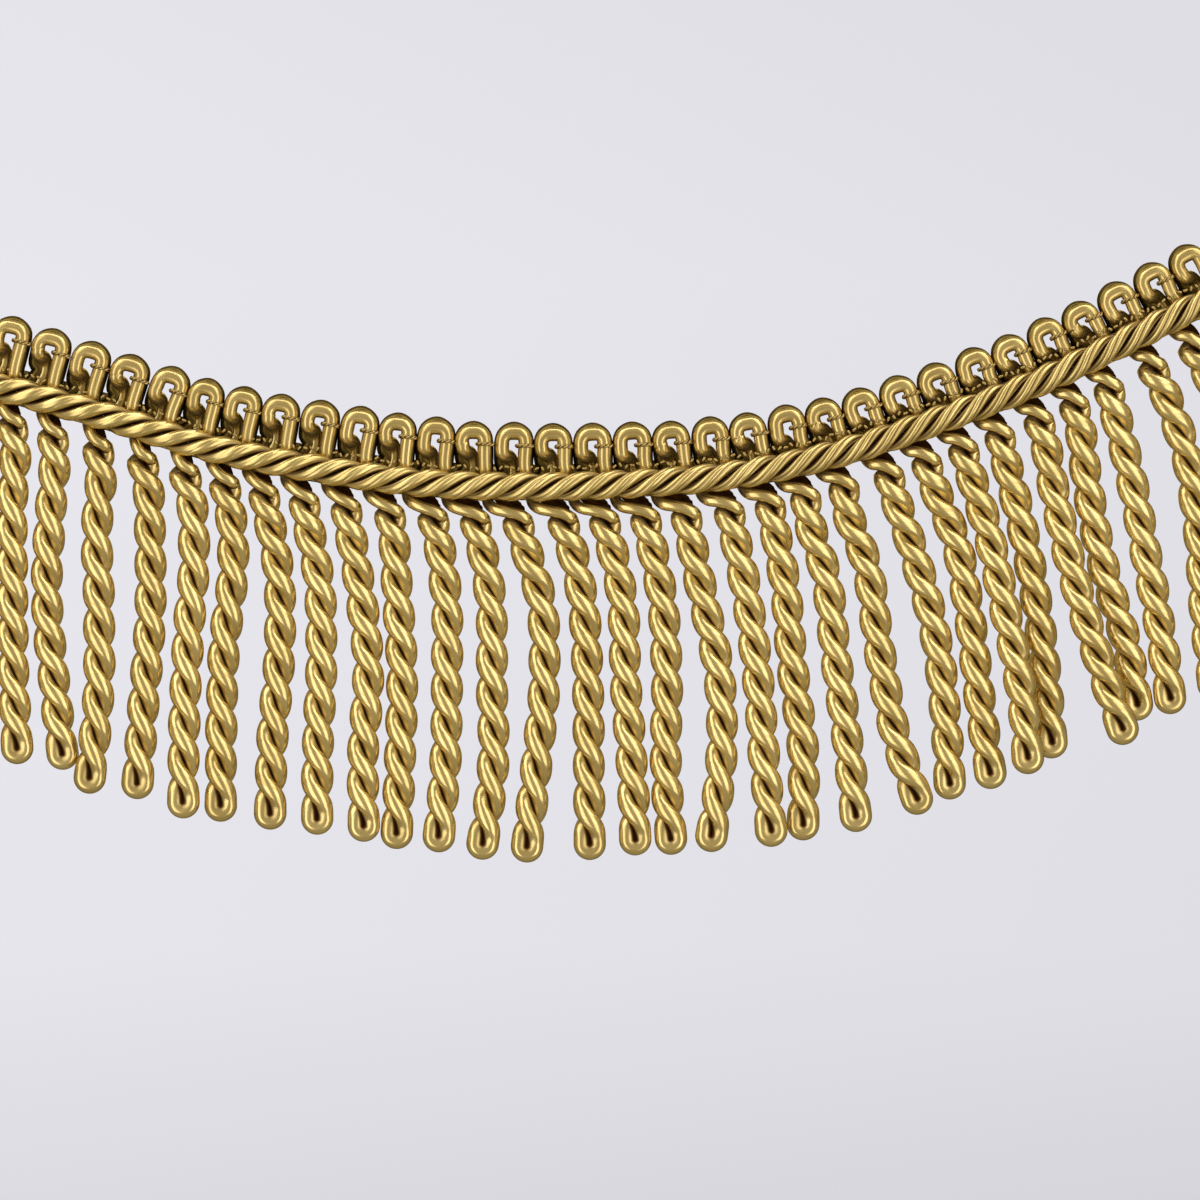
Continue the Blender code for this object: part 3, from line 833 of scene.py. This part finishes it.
def satin(name, colour, deep, roughness, streak):
    """Satin yarn: fine glossy fibres run along each strand, with a slow drift in tone, and
    painted shade of deep brown where strands meet and where shadow falls. streak is how plain
    the fibres are."""
    material = bpy.data.materials.new(name)
    material.use_nodes = True
    nodes = material.node_tree.nodes
    links = material.node_tree.links
    shader = nodes["Principled BSDF"]
    shader.inputs["Metallic"].default_value = METALLIC
    shader.inputs["Specular IOR Level"].default_value = SPECULAR
    shader.inputs["Specular Tint"].default_value = SPECULAR_TINT

    def read(attribute):
        """A node for a value that each point of the mesh keeps."""
        made = nodes.new("ShaderNodeAttribute")
        made.attribute_name = attribute
        return made

    def noise(stretch, detail, rough):
        """Noise in the yarn's own coordinates: along it and across it."""
        scaled = nodes.new("ShaderNodeVectorMath")
        scaled.operation = "MULTIPLY"
        scaled.inputs[1].default_value = stretch
        links.new(yarn.outputs["Vector"], scaled.inputs[0])
        made = nodes.new("ShaderNodeTexNoise")
        made.inputs["Scale"].default_value = 1.0
        made.inputs["Detail"].default_value = detail
        made.inputs["Roughness"].default_value = rough
        links.new(scaled.outputs["Vector"], made.inputs["Vector"])
        return made.outputs["Fac"]

    def ranged(value, low, high, to_low, to_high):
        """A value from low to high, moved to the range from to_low to to_high."""
        made = nodes.new("ShaderNodeMapRange")
        made.inputs["From Min"].default_value = low
        made.inputs["From Max"].default_value = high
        made.inputs["To Min"].default_value = to_low
        made.inputs["To Max"].default_value = to_high
        links.new(value, made.inputs["Value"])
        return made.outputs["Result"]

    def combine(operation, first, second):
        """The sum or the product of two values, each a socket or a number."""
        made = nodes.new("ShaderNodeMath")
        made.operation = operation
        for socket, value in zip(made.inputs, (first, second)):
            if isinstance(value, float):
                socket.default_value = value
            else:
                links.new(value, socket)
        return made.outputs["Value"]

    def mixed(factor, first, second):
        """A colour between two others, each a socket or a constant."""
        made = nodes.new("ShaderNodeMix")
        made.data_type = "RGBA"
        links.new(factor, made.inputs["Factor"])
        for socket, value in zip((made.inputs["A"], made.inputs["B"]), (first, second)):
            if isinstance(value, tuple):
                socket.default_value = (*value, 1.0)
            else:
                links.new(value, socket)
        return made.outputs["Result"]

    yarn = read("yarn")
    fibres = noise(*FIBRE_NOISE)
    tone = combine("ADD", ranged(fibres, *FIBRE_TONE), ranged(noise(*DRIFT_NOISE), *DRIFT_TONE))
    tone = combine("ADD", tone, combine("MULTIPLY", read("shade").outputs["Fac"], SHADE_TONE))
    yarn_colour = mixed(tone, deep, colour)
    # Painted shade from each point's mask darkens the yarn to deep brown and makes it rougher
    painted_shade = read("painted_shade").outputs["Fac"]
    links.new(mixed(painted_shade, yarn_colour, PAINTED_SHADE_COLOUR), shader.inputs["Base Color"])
    gloss = ranged(fibres, *FIBRE_GLOSS, *(roughness + spread for spread in GLOSS_SPREAD))
    gloss = combine("ADD", gloss, combine("MULTIPLY", painted_shade, PAINTED_SHADE_ROUGHER))
    links.new(gloss, shader.inputs["Roughness"])
    bump = nodes.new("ShaderNodeBump")
    bump.inputs["Strength"].default_value = streak
    bump.inputs["Distance"].default_value = FIBRE_BUMP
    links.new(fibres, bump.inputs["Height"])
    links.new(bump.outputs["Normal"], shader.inputs["Normal"])
    return material


# Studio

def make_camera():
    """A long lens, square to the front."""
    data = bpy.data.cameras.new("camera")
    data.sensor_width = SENSOR
    data.lens = SENSOR * VIEW_DISTANCE / VIEW_WIDTH
    data.clip_start = CLIP_START
    camera = bpy.data.objects.new("camera", data)
    camera.location = (VIEW_X * MM, -VIEW_DISTANCE * MM, VIEW_Z * MM)
    camera.rotation_euler = (math.radians(90), 0, 0)
    bpy.context.scene.collection.objects.link(camera)
    bpy.context.scene.camera = camera


def make_lights():
    """Soft lights at both sides, above and behind, which all look at the middle of the part."""
    for name, place, size, power in LIGHTS:
        data = bpy.data.lights.new(name, "AREA")
        data.shape = "RECTANGLE"
        data.size, data.size_y = size
        data.energy = power
        data.color = LIGHT_COLOUR
        light = bpy.data.objects.new(name, data)
        light.location = place
        light.visible_camera = False
        aim = np.array(LIGHT_AIM) - np.array(place)
        light.rotation_euler = Vector(aim).to_track_quat("-Z", "Y").to_euler()
        bpy.context.scene.collection.objects.link(light)


def make_world():
    """A pale backdrop all round, a little darker below, and a dimmer fill light."""
    world = bpy.data.worlds.new("studio")
    world.use_nodes = True
    nodes = world.node_tree.nodes
    links = world.node_tree.links
    look = nodes.new("ShaderNodeTexCoord")
    split = nodes.new("ShaderNodeSeparateXYZ")
    links.new(look.outputs["Generated"], split.inputs["Vector"])

    def ranged(axis, values):
        """The look's x, y or z, moved from one range to another."""
        made = nodes.new("ShaderNodeMapRange")
        for name, value in zip(("From Min", "From Max", "To Min", "To Max"), values):
            made.inputs[name].default_value = value
        links.new(split.outputs[axis], made.inputs["Value"])
        return made.outputs["Result"]

    fill = nodes["Background"]
    fill.inputs["Color"].default_value = FILL_COLOUR
    links.new(ranged("Y", FILL_RANGE), fill.inputs["Strength"])
    ramp = nodes.new("ShaderNodeValToRGB")
    stops = ramp.color_ramp.elements
    stops[0].position = BACKDROP[0][0]
    stops[1].position = BACKDROP[-1][0]
    for height, _ in BACKDROP[1:-1]:
        stops.new(height)
    for stop, (_, tone) in zip(stops, BACKDROP):
        stop.color = (*(tone * part for part in BACKDROP_TINT), 1.0)
    lift = nodes.new("ShaderNodeMath")
    lift.inputs[1].default_value = BACKDROP_LEVEL
    links.new(split.outputs["Z"], lift.inputs[0])
    links.new(lift.outputs["Value"], ramp.inputs["Fac"])
    backdrop = nodes.new("ShaderNodeBackground")
    links.new(ramp.outputs["Color"], backdrop.inputs["Color"])
    links.new(ranged("X", BACKDROP_ACROSS), backdrop.inputs["Strength"])
    rays = nodes.new("ShaderNodeLightPath")
    mix = nodes.new("ShaderNodeMixShader")
    links.new(rays.outputs["Is Camera Ray"], mix.inputs["Fac"])
    links.new(fill.outputs["Background"], mix.inputs[1])
    links.new(backdrop.outputs["Background"], mix.inputs[2])
    links.new(mix.outputs["Shader"], nodes["World Output"].inputs["Surface"])
    bpy.context.scene.world = world


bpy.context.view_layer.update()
bpy.context.scene.view_settings.view_transform = "Standard"
make_camera()
make_world()
make_lights()

heading = HeadingLine()
cord_satin = satin("cord_satin", *CORD_LOOK)
rope_satin = satin("rope_satin", *ROPE_LOOK)
gimp_satin = satin("gimp_satin", *GIMP_LOOK)
back_painted_shade_satin = satin("gimp_back_painted_shade_satin", *GIMP_BACK_PAINTED_SHADE_LOOK)
thread_satin = satin("thread_satin", *THREAD_LOOK)

left_end, right_end = make_cords(heading, cord_satin)
make_rope(heading, left_end, right_end, rope_satin)
first_scallop = math.ceil((left_end + FRONT_HALF_WIDTH) / SCALLOP_PITCH)
last_scallop = math.floor((right_end - FRONT_HALF_WIDTH) / SCALLOP_PITCH)
make_gimp(heading, first_scallop, last_scallop, gimp_satin,
          "gimp_front_strand", "gimp_front", FRONT_LAYER, FRONT_SHADE)
# The back layer of loops, in the gimp yarn with painted shade
make_gimp(heading, first_scallop, last_scallop, back_painted_shade_satin,
          "gimp_back_strand", "gimp_back", BACK_LAYER, BACK_SHADE)
make_threads(heading, left_end, right_end, thread_satin)
make_tapes(heading, left_end, right_end, thread_satin)
